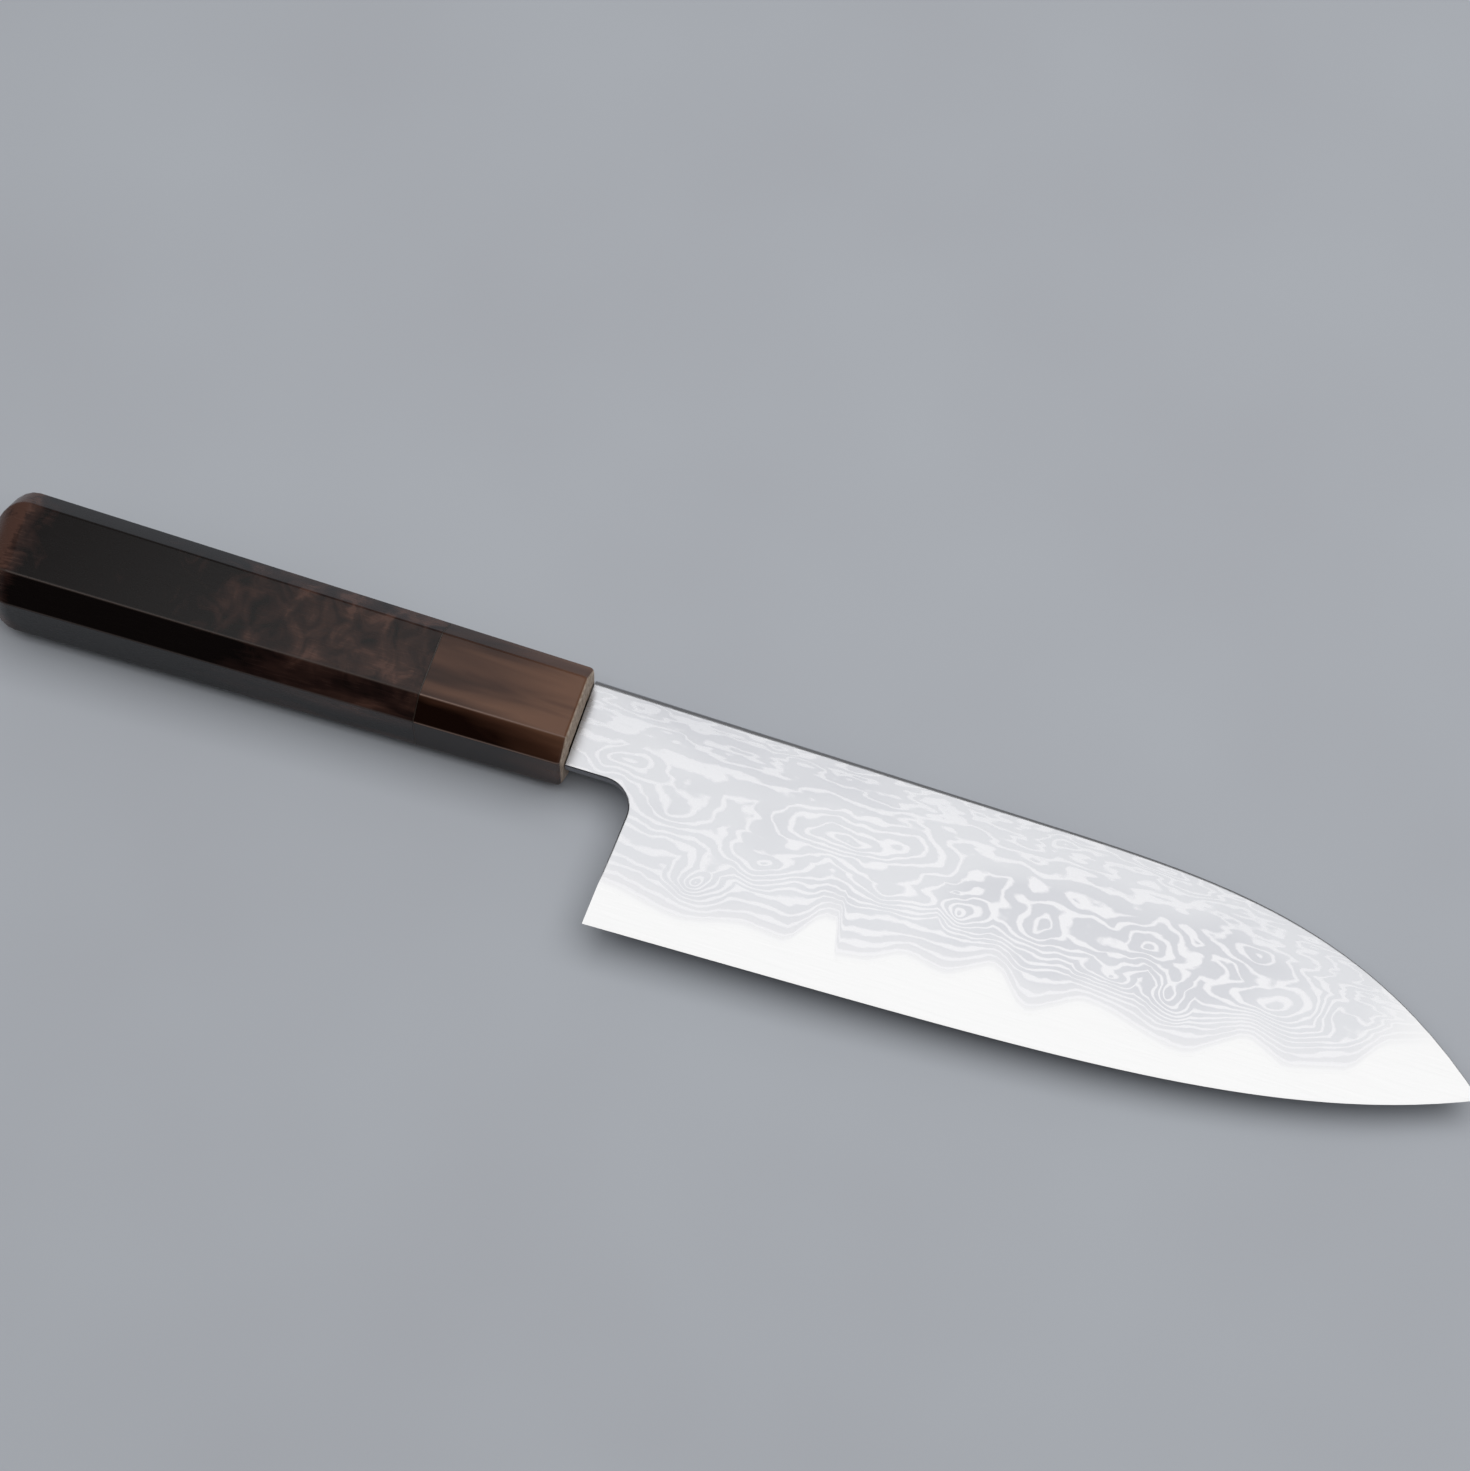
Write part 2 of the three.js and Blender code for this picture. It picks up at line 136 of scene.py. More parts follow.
def copyNode(node, pieceName, material, sharpDegrees):
    # the CAD solid with its triangles joined, so that curves shade smoothly and flats stay flat
    shape = bmesh.new()
    shape.from_mesh(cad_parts[node].data)
    bmesh.ops.remove_doubles(shape, verts=shape.verts, dist=joinWithin)
    for face in shape.faces:
        face.smooth = True
    for edge in shape.edges:
        edge.smooth = edge.calc_face_angle(math.pi) < math.radians(sharpDegrees)
    mesh = bpy.data.meshes.new(pieceName)
    shape.to_mesh(mesh)
    shape.free()
    if "custom_normal" in mesh.attributes:
        mesh.attributes.remove(mesh.attributes["custom_normal"])
    mesh.materials.clear()
    mesh.materials.append(material)
    piece = bpy.data.objects.new(pieceName, mesh)
    bpy.context.scene.collection.objects.link(piece)
    shading = piece.modifiers.new("flat facets", "WEIGHTED_NORMAL")
    shading.keep_sharp = True
    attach(piece, "root")
    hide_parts(node)
    return piece


# camera, at the photograph's place; lengths in millimetres
camera = {
    "place": (72.87, -248.98, 640.0),
    "aim": (-1.28, 20.32, 10.0),
    "rollDegrees": 2.305,
    "lens": 87.28,
    "sensor": 36,
}

cameraData = bpy.data.cameras.new("camera")
cameraData.lens = camera["lens"]
cameraData.sensor_width = camera["sensor"]
cameraObject = bpy.data.objects.new("camera", cameraData)
bpy.context.scene.collection.objects.link(cameraObject)
cameraObject.location = Vector(camera["place"]) * mm
sight = Vector(camera["aim"]) - Vector(camera["place"])
cameraObject.rotation_mode = "QUATERNION"
roll = Quaternion((0, 0, 1), math.radians(camera["rollDegrees"]))
cameraObject.rotation_quaternion = sight.to_track_quat("-Z", "Y") @ roll
bpy.context.scene.camera = cameraObject
print("camera placed")

# studio: a pale floor, two soft boxes side by side overhead, pale walls, and a dark card behind
# the camera; lengths in millimetres
studio = {
    "floorColours": ("#c6cad1", "#cacfd6"),
    "rollerMarks": 70,
    "rollerShows": (0.3, 0.7),  # part of the clouds' range that the two colours span
    "floorRoughness": 0.8,
    "floorGloss": 0.2,
    "floorSize": 3000,
    "nearBox": {"centre": (0, -90, 800), "size": (1300, 420), "radiance": 1.46},
    "farBox": {"centre": (185, 335, 800), "size": (1030, 430), "radiance": 1.52},
    "roomColour": "#f4f4f5",
    "roomStrength": 0.25,
    "cardStrength": 0.02,
    "cardTowards": (0, -0.93, 0.37),
    "cardEdge": (0.74, 0.92),  # cosines of the angles to its middle where it starts and is full
}

bpy.context.scene.view_settings.view_transform = "Standard"


def makePaint():
    # paint rolled on a board: even and matt, with clouds left by the roller that hardly show
    material, tree, shader, place = startMaterial("matt rolled paint")
    clouds = addNode(
        tree, "ShaderNodeTexNoise",
        {"Vector": place, "Scale": 1 / (studio["rollerMarks"] * mm), "Detail": 2},
    ).outputs["Fac"]
    paint = addNode(
        tree, "ShaderNodeValToRGB", {"Fac": clouds},
        stops=zip(studio["rollerShows"], studio["floorColours"]),
    ).outputs["Color"]
    tree.links.new(paint, shader.inputs["Base Color"])
    shader.inputs["Roughness"].default_value = studio["floorRoughness"]
    shader.inputs["Specular IOR Level"].default_value = studio["floorGloss"]
    return material


floorShape = bmesh.new()
bmesh.ops.create_grid(floorShape, x_segments=1, y_segments=1, size=studio["floorSize"] / 2 * mm)
floorMesh = bpy.data.meshes.new("floor")
floorShape.to_mesh(floorMesh)
floorShape.free()
floorMesh.materials.append(makePaint())
floor = bpy.data.objects.new("floor", floorMesh)
bpy.context.scene.collection.objects.link(floor)

for boxName in ("nearBox", "farBox"):
    setting = studio[boxName]
    width, depth = (side * mm for side in setting["size"])
    lampData = bpy.data.lights.new(boxName, "AREA")
    lampData.shape = "RECTANGLE"
    lampData.size = width
    lampData.size_y = depth
    lampData.energy = setting["radiance"] * math.pi * width * depth
    lamp = bpy.data.objects.new(boxName, lampData)
    lamp.location = Vector(setting["centre"]) * mm
    bpy.context.scene.collection.objects.link(lamp)

world = bpy.data.worlds.new("room")
world.use_nodes = True
bpy.context.scene.world = world
roomTree = world.node_tree
look = addNode(roomTree, "ShaderNodeTexCoord").outputs["Generated"]
towardsCard = addNode(
    roomTree, "ShaderNodeVectorMath", {0: look, 1: studio["cardTowards"]}, operation="DOT_PRODUCT",
).outputs["Value"]
lit = addNode(
    roomTree, "ShaderNodeMapRange",
    {"Value": towardsCard, "From Min": studio["cardEdge"][0], "From Max": studio["cardEdge"][1],
     "To Min": studio["roomStrength"], "To Max": studio["cardStrength"]},
    interpolation_type="SMOOTHSTEP",
).outputs["Result"]
background = roomTree.nodes["Background"]
roomTree.links.new(lit, background.inputs["Strength"])
background.inputs["Color"].default_value = toLinear(studio["roomColour"])
print("studio lit")

# blade: bare core steel along the edge, layered cladding over the rest; lengths in millimetres
blade = {
    "coreColour": "#c5c5c5",
    "coreRoughness": (0.17, 0.27),
    "polishWidth": 0.35,
    "polishStretch": 0.03,
    "paintedShadeColour": "#7a7a7e",  # painted shade on the choil and heel: a grey standing in for the shadowed floor that they mirror
    "paintedShadeFacing": -0.55,  # their faces look backwards or to the belly at least this squarely
    "lineColour": "#c2c2c4",
    "paleBand": "#bfbfc1",  # near the core
    "bandColour": "#b9babd",
    "darkBand": "#b1b2b6",
    "shadeSize": 12,
    "shadeStretch": 0.4,
    "darkPatch": (78, 2, 40, 16),  # place along and across, half length, half height
    "patchWeight": 0.3,
    "patchFrom": 0.5,  # shade at which the dark band starts, and at which it is full
    "patchTo": 0.75,
    "lineShare": 0.33,  # light steel's share of a pair of layers
    "lineSoftness": 0.085,
    "unevenness": 0.16,
    "unevenSize": 5,
    "crowdedLayers": 3,  # pairs that crowd along the core's border
    "crowdHeight": 4.5,
    "openSpacing": 4,  # height for each further pair
    "swayFrom": 9,  # height over which the layers leave the border's waves and start to wander
    "levelling": 15,  # reach to each side over which the waves are evened out higher up
    "levellingSteps": 10,
    # hammered eyes: place along and across, half length, half height, turn in degrees, and pairs
    # of layers cut through
    "eyes": [
        (27, 6, 26, 7, 5, 6),
        (-18, 8, 10, 4, 4, 3),
        (-8, 2, 12, 7, 0, 3),
        (11, -3, 14, 6, 0, 4.5),
        (1, -11, 7, 7, 0, 5),
        (37, -1, 17, 5, 6, 4),
        (51, -1, 6, 6, 0, 4),
        (66, 0, 17, 9, 0, 4.5),
        (86, 3, 16, 6, 0, 5),
        (81, -5, 8, 6, 0, 4.5),
        (92, -5, 6, 7, 0, 4.5),
        (107, 9, 13, 6, 0, 4),
        (111, -1, 24, 9, 12, 5.5),
        (124, 2, 6, 5, 0, -3),
        (55, 15, 14, 4, -14, 3),
    ],
    "bendSize": 8,
    "bend": 1.8,  # how far the eyes are pushed out of round
    # waves of the layers: size, pairs of layers that they sway over, stretch along the blade
    "eyeWaves": {"size": 4.5, "sway": 1.6, "stretch": 0.55, "detail": 1},
    "fineWaves": {"size": 1.5, "sway": 0.4, "stretch": 0.6, "detail": 2},
    "streakWaves": {"size": 3.2, "sway": 8, "stretch": 0.22, "detail": 2},
    "driftDegrees": 6,  # slant of the waves to the blade's length
    "depthStretch": 5,  # they change this much faster through the thickness
    "spineEdge": 1,  # depth under the spine at which the streaks start to give way to eyes
    "streakHeight": 14,  # and at which they have gone
    "faintest": 0.5,  # contrast left at the spine
    "heelFaintest": 0.55,  # contrast left at the neck, full again in front of heelTo
    "heelFrom": -30,
    "heelTo": 30,
    "etchFrom": 0.05,  # height above the core's border at which the etch starts, and is full
    "etchTo": 2.2,
    "tipFrom": 127,  # the etch fades out from here to the tip
    "tipTo": 145,
    "bandRoughness": 0.3,
    "lineRoughness": 0.26,
    "bareRoughness": 0.22,
    "etchDepth": 0.01,
    "etchStrength": 0.2,
    "shoulder": -30.45,  # behind this, dark epoxy is left on the steel
    "shoulderSoftness": 0.05,
    "epoxyColour": "#1c1512",
    "borderGap": 0.03,  # a point of the cladding with no other this near across it is on the border
    "spineStep": 1.5,  # spacing of the points that are taken for the spine
    "sharpDegrees": 50,
}


def makeCoreSteel():
    # forged tool steel, ground and polished: near white under a soft box, with painted shade in
    # grey on the choil and heel, and faint lengthwise polish marks, coarser here than the real ones
    # so that they show
    material, tree, shader, place = startMaterial("polished core steel")
    shader.inputs["Metallic"].default_value = 1
    # painted shade on the choil and heel faces
    paintedShade = addNode(tree, "ShaderNodeAttribute", attribute_name="paintedShade").outputs["Fac"]
    bare = addNode(
        tree, "ShaderNodeMix",
        {0: paintedShade, 6: toLinear(blade["coreColour"]), 7: toLinear(blade["paintedShadeColour"])},
        data_type="RGBA",
    ).outputs[2]
    tree.links.new(bare, shader.inputs["Base Color"])
    polish = drawnOutGrain(
        tree, place, blade["polishWidth"], (blade["polishStretch"], 1, 1), detail=3,
    )
    brightest, dullest = blade["coreRoughness"]
    gloss = addNode(
        tree, "ShaderNodeMapRange", {"Value": polish, "To Min": brightest, "To Max": dullest},
    ).outputs["Result"]
    tree.links.new(gloss, shader.inputs["Roughness"])
    return material


def wanderOfLayers(tree, place, openness):
    # how far the layers stray, in pairs: streaks under the spine that give way to eyes below it,
    # and a fine ripple everywhere
    sways = []
    for waves in (blade["eyeWaves"], blade["fineWaves"], blade["streakWaves"]):
        drift = drawnOutGrain(
            tree, place, waves["size"], (waves["stretch"], 1, blade["depthStretch"]),
            blade["driftDegrees"], waves["detail"],
        )
        sways.append(addNode(
            tree, "ShaderNodeMath", {0: drift, 1: waves["sway"], 2: -waves["sway"] / 2},
            operation="MULTIPLY_ADD",
        ).outputs[0])
    eyes, ripple, streaks = sways
    push = addNode(
        tree, "ShaderNodeTexNoise",
        {"Vector": place, "Scale": 1 / (blade["bendSize"] * mm), "Detail": 1}, normalize=False,
    ).outputs["Color"]
    bent = addNode(
        tree, "ShaderNodeVectorMath",
        {0: push, 1: (blade["bend"] * mm, blade["bend"] * mm, 0), 2: place},
        operation="MULTIPLY_ADD",
    ).outputs["Vector"]
    for *oval, layers in blade["eyes"]:
        rings = ovalSpot(tree, bent, *oval)
        eyes = addNode(
            tree, "ShaderNodeMath", {0: rings, 1: layers, 2: eyes}, operation="MULTIPLY_ADD",
        ).outputs[0]
    wander = addNode(tree, "ShaderNodeMix", {0: openness, 2: streaks, 3: eyes}).outputs[0]
    return wander, ripple


def lightLayers(tree, place, openness, freedom, aboveCore):
    # one on the light steel and nought on the dark: the layers are counted up from the core's
    # border, and each pair of them is folded into a band and a line
    wander, ripple = wanderOfLayers(tree, place, openness)
    swayed = addNode(
        tree, "ShaderNodeMath", {0: wander, 1: freedom, 2: ripple}, operation="MULTIPLY_ADD",
    ).outputs[0]
    decay = addNode(
        tree, "ShaderNodeMath", {0: aboveCore, 1: -1 / blade["crowdHeight"]}, operation="MULTIPLY",
    ).outputs[0]
    crowd = addNode(tree, "ShaderNodeMath", {0: decay}, operation="EXPONENT").outputs[0]
    crowded = addNode(
        tree, "ShaderNodeMath", {0: crowd, 1: -blade["crowdedLayers"], 2: swayed},
        operation="MULTIPLY_ADD",
    ).outputs[0]
    aboveMean = addNode(tree, "ShaderNodeAttribute", attribute_name="aboveMean").outputs["Fac"]
    height = addNode(tree, "ShaderNodeMix", {0: freedom, 2: aboveCore, 3: aboveMean}).outputs[0]
    layer = addNode(
        tree, "ShaderNodeMath", {0: height, 1: 1 / blade["openSpacing"], 2: crowded},
        operation="MULTIPLY_ADD",
    ).outputs[0]
    halfPair = 0.5
    fold = addNode(
        tree, "ShaderNodeMath", {0: layer, 1: halfPair}, operation="PINGPONG",
    ).outputs[0]
    swell = addNode(
        tree, "ShaderNodeTexNoise",
        {"Vector": place, "Scale": 1 / (blade["unevenSize"] * mm), "Detail": 1}, normalize=False,
    ).outputs["Fac"]
    uneven = addNode(
        tree, "ShaderNodeMath", {0: swell, 1: blade["unevenness"], 2: fold},
        operation="MULTIPLY_ADD",
    ).outputs[0]
    lineStart = halfPair - blade["lineShare"] / 2
    return addNode(
        tree, "ShaderNodeMapRange",
        {"Value": uneven, "From Min": lineStart - blade["lineSoftness"],
         "From Max": lineStart + blade["lineSoftness"]},
        interpolation_type="SMOOTHSTEP",
    ).outputs["Result"]


def bandColours(tree, place, freedom):
    # the dark steel: palest along the core, clouded higher up, and darkest in one large patch
    shade = drawnOutGrain(
        tree, place, blade["shadeSize"], (blade["shadeStretch"], 1, 1), detail=1,
    )
    middle = ovalSpot(tree, place, *blade["darkPatch"])
    darkness = addNode(
        tree, "ShaderNodeMath", {0: middle, 1: blade["patchWeight"], 2: shade},
        operation="MULTIPLY_ADD",
    ).outputs[0]
    patch = addNode(
        tree, "ShaderNodeMapRange",
        {"Value": darkness, "From Min": blade["patchFrom"], "From Max": blade["patchTo"]},
    ).outputs["Result"]
    openBand = addNode(
        tree, "ShaderNodeMix",
        {0: patch, 6: toLinear(blade["bandColour"]), 7: toLinear(blade["darkBand"])},
        data_type="RGBA",
    ).outputs[2]
    return addNode(
        tree, "ShaderNodeMix", {0: freedom, 6: toLinear(blade["paleBand"]), 7: openBand},
        data_type="RGBA",
    ).outputs[2]


def makeLayeredSteel():
    # soft and hard steel folded together, ground to a slope and etched: each layer shows as a line
    # where the slope cuts it, so lines crowd along the core and open into eyes on the flat
    material, tree, shader, place = startMaterial("etched layered steel")
    shader.inputs["Metallic"].default_value = 1
    aboveCore, belowSpine, paintedShade = (
        addNode(tree, "ShaderNodeAttribute", attribute_name=name).outputs["Fac"]
        for name in ("aboveCore", "belowSpine", "paintedShade")
    )
    lengthwise = addNode(tree, "ShaderNodeSeparateXYZ", {"Vector": place}).outputs["X"]
    openness = addNode(
        tree, "ShaderNodeMapRange",
        {"Value": belowSpine, "From Min": blade["spineEdge"], "From Max": blade["streakHeight"]},
        interpolation_type="SMOOTHSTEP",
    ).outputs["Result"]
    freedom = addNode(
        tree, "ShaderNodeMapRange", {"Value": aboveCore, "From Max": blade["swayFrom"]},
        interpolation_type="SMOOTHSTEP",
    ).outputs["Result"]
    line = lightLayers(tree, place, openness, freedom, aboveCore)

    # fainter towards spine and neck
    spineFade = addNode(
        tree, "ShaderNodeMapRange", {"Value": openness, "To Min": blade["faintest"], "To Max": 1},
    ).outputs["Result"]
    heelFade = addNode(
        tree, "ShaderNodeMapRange",
        {"Value": lengthwise, "From Min": blade["heelFrom"] * mm, "From Max": blade["heelTo"] * mm,
         "To Min": blade["heelFaintest"], "To Max": 1},
    ).outputs["Result"]
    shown = line
    for fade in (spineFade, heelFade):
        shown = addNode(
            tree, "ShaderNodeMath", {0: shown, 1: fade}, operation="MULTIPLY",
        ).outputs[0]
    pattern = addNode(
        tree, "ShaderNodeMix",
        {0: shown, 6: bandColours(tree, place, freedom), 7: toLinear(blade["lineColour"])},
        data_type="RGBA",
    ).outputs[2]

    # not etched where the cladding feathers out over the core, nor at the tip
    thick = addNode(
        tree, "ShaderNodeMapRange",
        {"Value": aboveCore, "From Min": blade["etchFrom"], "From Max": blade["etchTo"]},
    ).outputs["Result"]
    beforeTip = addNode(
        tree, "ShaderNodeMapRange",
        {"Value": lengthwise, "From Min": blade["tipTo"] * mm, "From Max": blade["tipFrom"] * mm},
    ).outputs["Result"]
    etched = addNode(
        tree, "ShaderNodeMath", {0: thick, 1: beforeTip}, operation="MULTIPLY",
    ).outputs[0]
    colour = addNode(
        tree, "ShaderNodeMix", {0: etched, 6: toLinear(blade["coreColour"]), 7: pattern},
        data_type="RGBA",
    ).outputs[2]

    # epoxy squeezed out at the shoulder, and painted shade on the choil and heel
    squeezed = addNode(
        tree, "ShaderNodeMapRange",
        {"Value": lengthwise, "From Min": (blade["shoulder"] + blade["shoulderSoftness"]) * mm,
         "From Max": (blade["shoulder"] - blade["shoulderSoftness"]) * mm},
    ).outputs["Result"]
    for share, hexColour in ((squeezed, blade["epoxyColour"]), (paintedShade, blade["paintedShadeColour"])):
        colour = addNode(
            tree, "ShaderNodeMix", {0: share, 6: colour, 7: toLinear(hexColour)}, data_type="RGBA",
        ).outputs[2]
    tree.links.new(colour, shader.inputs["Base Color"])

    etchedGloss = addNode(
        tree, "ShaderNodeMapRange",
        {"Value": line, "To Min": blade["bandRoughness"], "To Max": blade["lineRoughness"]},
    ).outputs["Result"]
    gloss = addNode(
        tree, "ShaderNodeMix", {0: etched, 2: blade["bareRoughness"], 3: etchedGloss},
    ).outputs[0]
    tree.links.new(gloss, shader.inputs["Roughness"])
    etch = addNode(
        tree, "ShaderNodeBump",
        {"Height": line, "Strength": blade["etchStrength"], "Distance": blade["etchDepth"] * mm},
    ).outputs["Normal"]
    tree.links.new(etch, shader.inputs["Normal"])
    return material


def markPaintedShade(piece):
    # one on the faces of choil and heel, which look towards the handle or the belly side; shade is
    # painted there
    squarely = [min(face.normal.x, face.normal.y) for face in piece.data.polygons]
    attribute = piece.data.attributes.new("paintedShade", "FLOAT", "FACE")
    attribute.data.foreach_set("value", [float(n < blade["paintedShadeFacing"]) for n in squarely])


def heightAt(line, x):
    # height of a line of points, sorted along the blade, at one place
    after = next((i for i, point in enumerate(line) if point.x > x), len(line))
    if after in (0, len(line)):
        return line[min(after, len(line) - 1)].y
    low, high = line[after - 1], line[after]
    return low.y + (high.y - low.y) * (x - low.x) / (high.x - low.x)


def meanHeightAt(line, x):
    # the same, evened out over the reach to each side
    steps = blade["levellingSteps"]
    reach = [blade["levelling"] * mm * step / steps for step in range(-steps, steps + 1)]
    return sum(heightAt(line, x + offset) for offset in reach) / len(reach)


markPaintedShade(copyNode(
    "core_steel", "blade_core", makeCoreSteel(), blade["sharpDegrees"],
))
layeredSteel = makeLayeredSteel()
for side in ("right", "left"):
    cladding = copyNode(
        side + "_cladding", "blade_cladding_" + side, layeredSteel,
        blade["sharpDegrees"],
    )
    markPaintedShade(cladding)
    # the cladding has no thickness along the core's border, so a point there has none across it
    points = [v.co.copy() for v in cladding.data.vertices]
    flattened = KDTree(len(points))
    for i, point in enumerate(points):
        flattened.insert((point.x, point.y, 0), i)
    flattened.balance()
    gap = blade["borderGap"] * mm
    border = [p for p in points if len(flattened.find_range((p.x, p.y, 0), gap)) == 1]
    border.sort(key=lambda p: p.x)
    spine = []
    for point in sorted(points, key=lambda p: -p.y):
        if all(abs(point.x - other.x) > blade["spineStep"] * mm for other in spine):
            spine.append(point)
    spine.sort(key=lambda p: p.x)
    for name, heights in (
        ("aboveCore", [(p.y - heightAt(border, p.x)) / mm for p in points]),
        ("aboveMean", [(p.y - meanHeightAt(border, p.x)) / mm for p in points]),
        ("belowSpine", [(heightAt(spine, p.x) - p.y) / mm for p in points]),
    ):
        attribute = cladding.data.attributes.new(name, "FLOAT", "POINT")
        attribute.data.foreach_set("value", [max(0, height) for height in heights])
print("blade dressed")

# ferrule; lengths in millimetres, shifts on the scale of the tones
ferrule = {
    "tones": ((0.2, "#190b06"), (0.45, "#472d21"), (0.75, "#72503d")),
    "streakWidth": 5.5,
    "streakStretch": 0.16,
    "streakDegrees": -3,
    "streakDetail": 2.5,
    "streakBend": 0.5,
    "woodEnd": -60,  # the horn lightens from the wood to the mouth
    "woodShift": 0.02,
    "mouthEnd": -31,
    "mouthShift": 0.28,
    "lightSide": 8,  # painted shade: it darkens from here towards the belly side, fully at darkSide
    "darkSide": 4,
    "bellyPaintedShade": -0.45,
    "shadeFadesFrom": -44,  # the painted shade is weaker in front of this, towards the mouth
    "shadeLeftAtMouth": 0.62,
    "spineSide": 19,  # and painted shade darkens it a little along the spine
    "spineBlend": 1,
    "spinePaintedShade": -0.16,
    "mouth": -30.9,  # sawn face in front of this, left dull and dry
    "mouthBlend": 0.1,
    # tones of the sawn face: pale as dry sawn horn, and paler still as a painted reflection of the
    # bright blade beside it
    "sawnAndReflectedTones": ((0.35, "#a8937f"), (0.65, "#d6c4b3")),
    "sawMarks": 0.9,
    "buffedRoughness": 0.2,
    "sawnRoughness": 0.6,
    "ior": 1.5,
    "gloss": 0.2,
    "wornAndHighlit": "#8f766a",  # ridges, rubbed paler, and a painted highlight
    "spineSideShare": 0.3,
    "foldWidth": 0.45,  # the strips of a rounded ridge are narrower than this
    "fullRidgeBelow": 13,
    "sharpDegrees": 35,
}


def makeHorn():
    # buffalo horn, sanded and buffed: soft brown streaks run the length of the handle under a clear
    # gloss, darker towards the wood, with painted shade on the belly side and along the spine, and
    # a dry, pale face at the sawn mouth, paler still as a painted reflection of the blade
    material, tree, shader, place = startMaterial("buffed marbled horn")
    axes = addNode(tree, "ShaderNodeSeparateXYZ", {"Vector": place}).outputs
    forward = addNode(
        tree, "ShaderNodeMapRange",
        {"Value": axes["X"], "From Min": ferrule["woodEnd"] * mm,
         "From Max": ferrule["mouthEnd"] * mm, "To Min": ferrule["woodShift"],
         "To Max": ferrule["mouthShift"]},
    ).outputs["Result"]
    # painted shade towards the belly side, weaker near the mouth, and along the spine
    belly = addNode(
        tree, "ShaderNodeMapRange",
        {"Value": axes["Y"], "From Min": ferrule["darkSide"] * mm,
         "From Max": ferrule["lightSide"] * mm, "To Min": ferrule["bellyPaintedShade"], "To Max": 0},
    ).outputs["Result"]
    atMouth = addNode(
        tree, "ShaderNodeMapRange",
        {"Value": axes["X"], "From Min": ferrule["shadeFadesFrom"] * mm,
         "From Max": ferrule["mouthEnd"] * mm, "To Min": 1, "To Max": ferrule["shadeLeftAtMouth"]},
    ).outputs["Result"]
    bellyShade = addNode(
        tree, "ShaderNodeMath", {0: belly, 1: atMouth}, operation="MULTIPLY",
    ).outputs[0]
    spineShade = addNode(
        tree, "ShaderNodeMapRange",
        {"Value": axes["Y"], "From Min": (ferrule["spineSide"] - ferrule["spineBlend"]) * mm,
         "From Max": (ferrule["spineSide"] + ferrule["spineBlend"]) * mm,
         "To Max": ferrule["spinePaintedShade"]},
    ).outputs["Result"]
    lightness = drawnOutGrain(
        tree, place, ferrule["streakWidth"], (ferrule["streakStretch"], 1, 1),
        ferrule["streakDegrees"], ferrule["streakDetail"], ferrule["streakBend"],
    )
    for shift in (forward, bellyShade, spineShade):
        lightness = addNode(
            tree, "ShaderNodeMath", {0: lightness, 1: shift}, operation="ADD",
        ).outputs[0]
    tone = addNode(
        tree, "ShaderNodeValToRGB", {"Fac": lightness}, stops=ferrule["tones"],
    ).outputs["Color"]

    sawn = addNode(
        tree, "ShaderNodeMapRange",
        {"Value": axes["X"], "From Min": (ferrule["mouth"] - ferrule["mouthBlend"]) * mm,
         "From Max": (ferrule["mouth"] + ferrule["mouthBlend"]) * mm},
    ).outputs["Result"]
    sawMarks = addNode(
        tree, "ShaderNodeTexNoise",
        {"Vector": place, "Scale": 1 / (ferrule["sawMarks"] * mm), "Detail": 3},
    ).outputs["Fac"]
    # the sawn face: partly its own pale colour, partly a painted reflection of the blade
    dryAndReflecting = addNode(
        tree, "ShaderNodeValToRGB", {"Fac": sawMarks}, stops=ferrule["sawnAndReflectedTones"],
    ).outputs["Color"]
    colour = addNode(
        tree, "ShaderNodeMix", {0: sawn, 6: paintRidgeWearAndHighlight(tree, tone, ferrule["wornAndHighlit"]), 7: dryAndReflecting},
        data_type="RGBA",
    ).outputs[2]
    tree.links.new(colour, shader.inputs["Base Color"])
    dullness = addNode(
        tree, "ShaderNodeMapRange",
        {"Value": sawn, "To Min": ferrule["buffedRoughness"], "To Max": ferrule["sawnRoughness"]},
    ).outputs["Result"]
    tree.links.new(dullness, shader.inputs["Roughness"])
    shader.inputs["IOR"].default_value = ferrule["ior"]
    shader.inputs["Specular IOR Level"].default_value = ferrule["gloss"]
    return material


collar = copyNode("ferrule", "horn_ferrule", makeHorn(), ferrule["sharpDegrees"])
markRidgeWearAndHighlight(collar, ferrule)

# adhesive; lengths in millimetres
glue = {
    "tones": ((0.35, "#261c16"), (0.65, "#3a2c23")),  # thick film, thin film
    "mottling": 1.2,
    "roughness": (0.3, 0.5),
}


def makeEpoxy():
    # epoxy tinted to the handle's brown, wiped and left to cure: a faint dark line where horn meets
    # wood, mottled where the film runs thin
    material, tree, shader, place = startMaterial("cured tinted epoxy")
    mottled = addNode(
        tree, "ShaderNodeTexNoise",
        {"Vector": place, "Scale": 1 / (glue["mottling"] * mm), "Detail": 2},
    ).outputs["Fac"]
    film = addNode(
        tree, "ShaderNodeValToRGB", {"Fac": mottled}, stops=glue["tones"],
    ).outputs["Color"]
    tree.links.new(film, shader.inputs["Base Color"])
    shiny, dull = glue["roughness"]
    skin = addNode(
        tree, "ShaderNodeMapRange", {"Value": mottled, "To Min": shiny, "To Max": dull},
    ).outputs["Result"]
    tree.links.new(skin, shader.inputs["Roughness"])
    return material


adhesive = makeEpoxy()
copyNode(
    "ferrule_glue_line", "ferrule_joint_line", adhesive, ferrule["sharpDegrees"],
)
print("ferrule dressed")

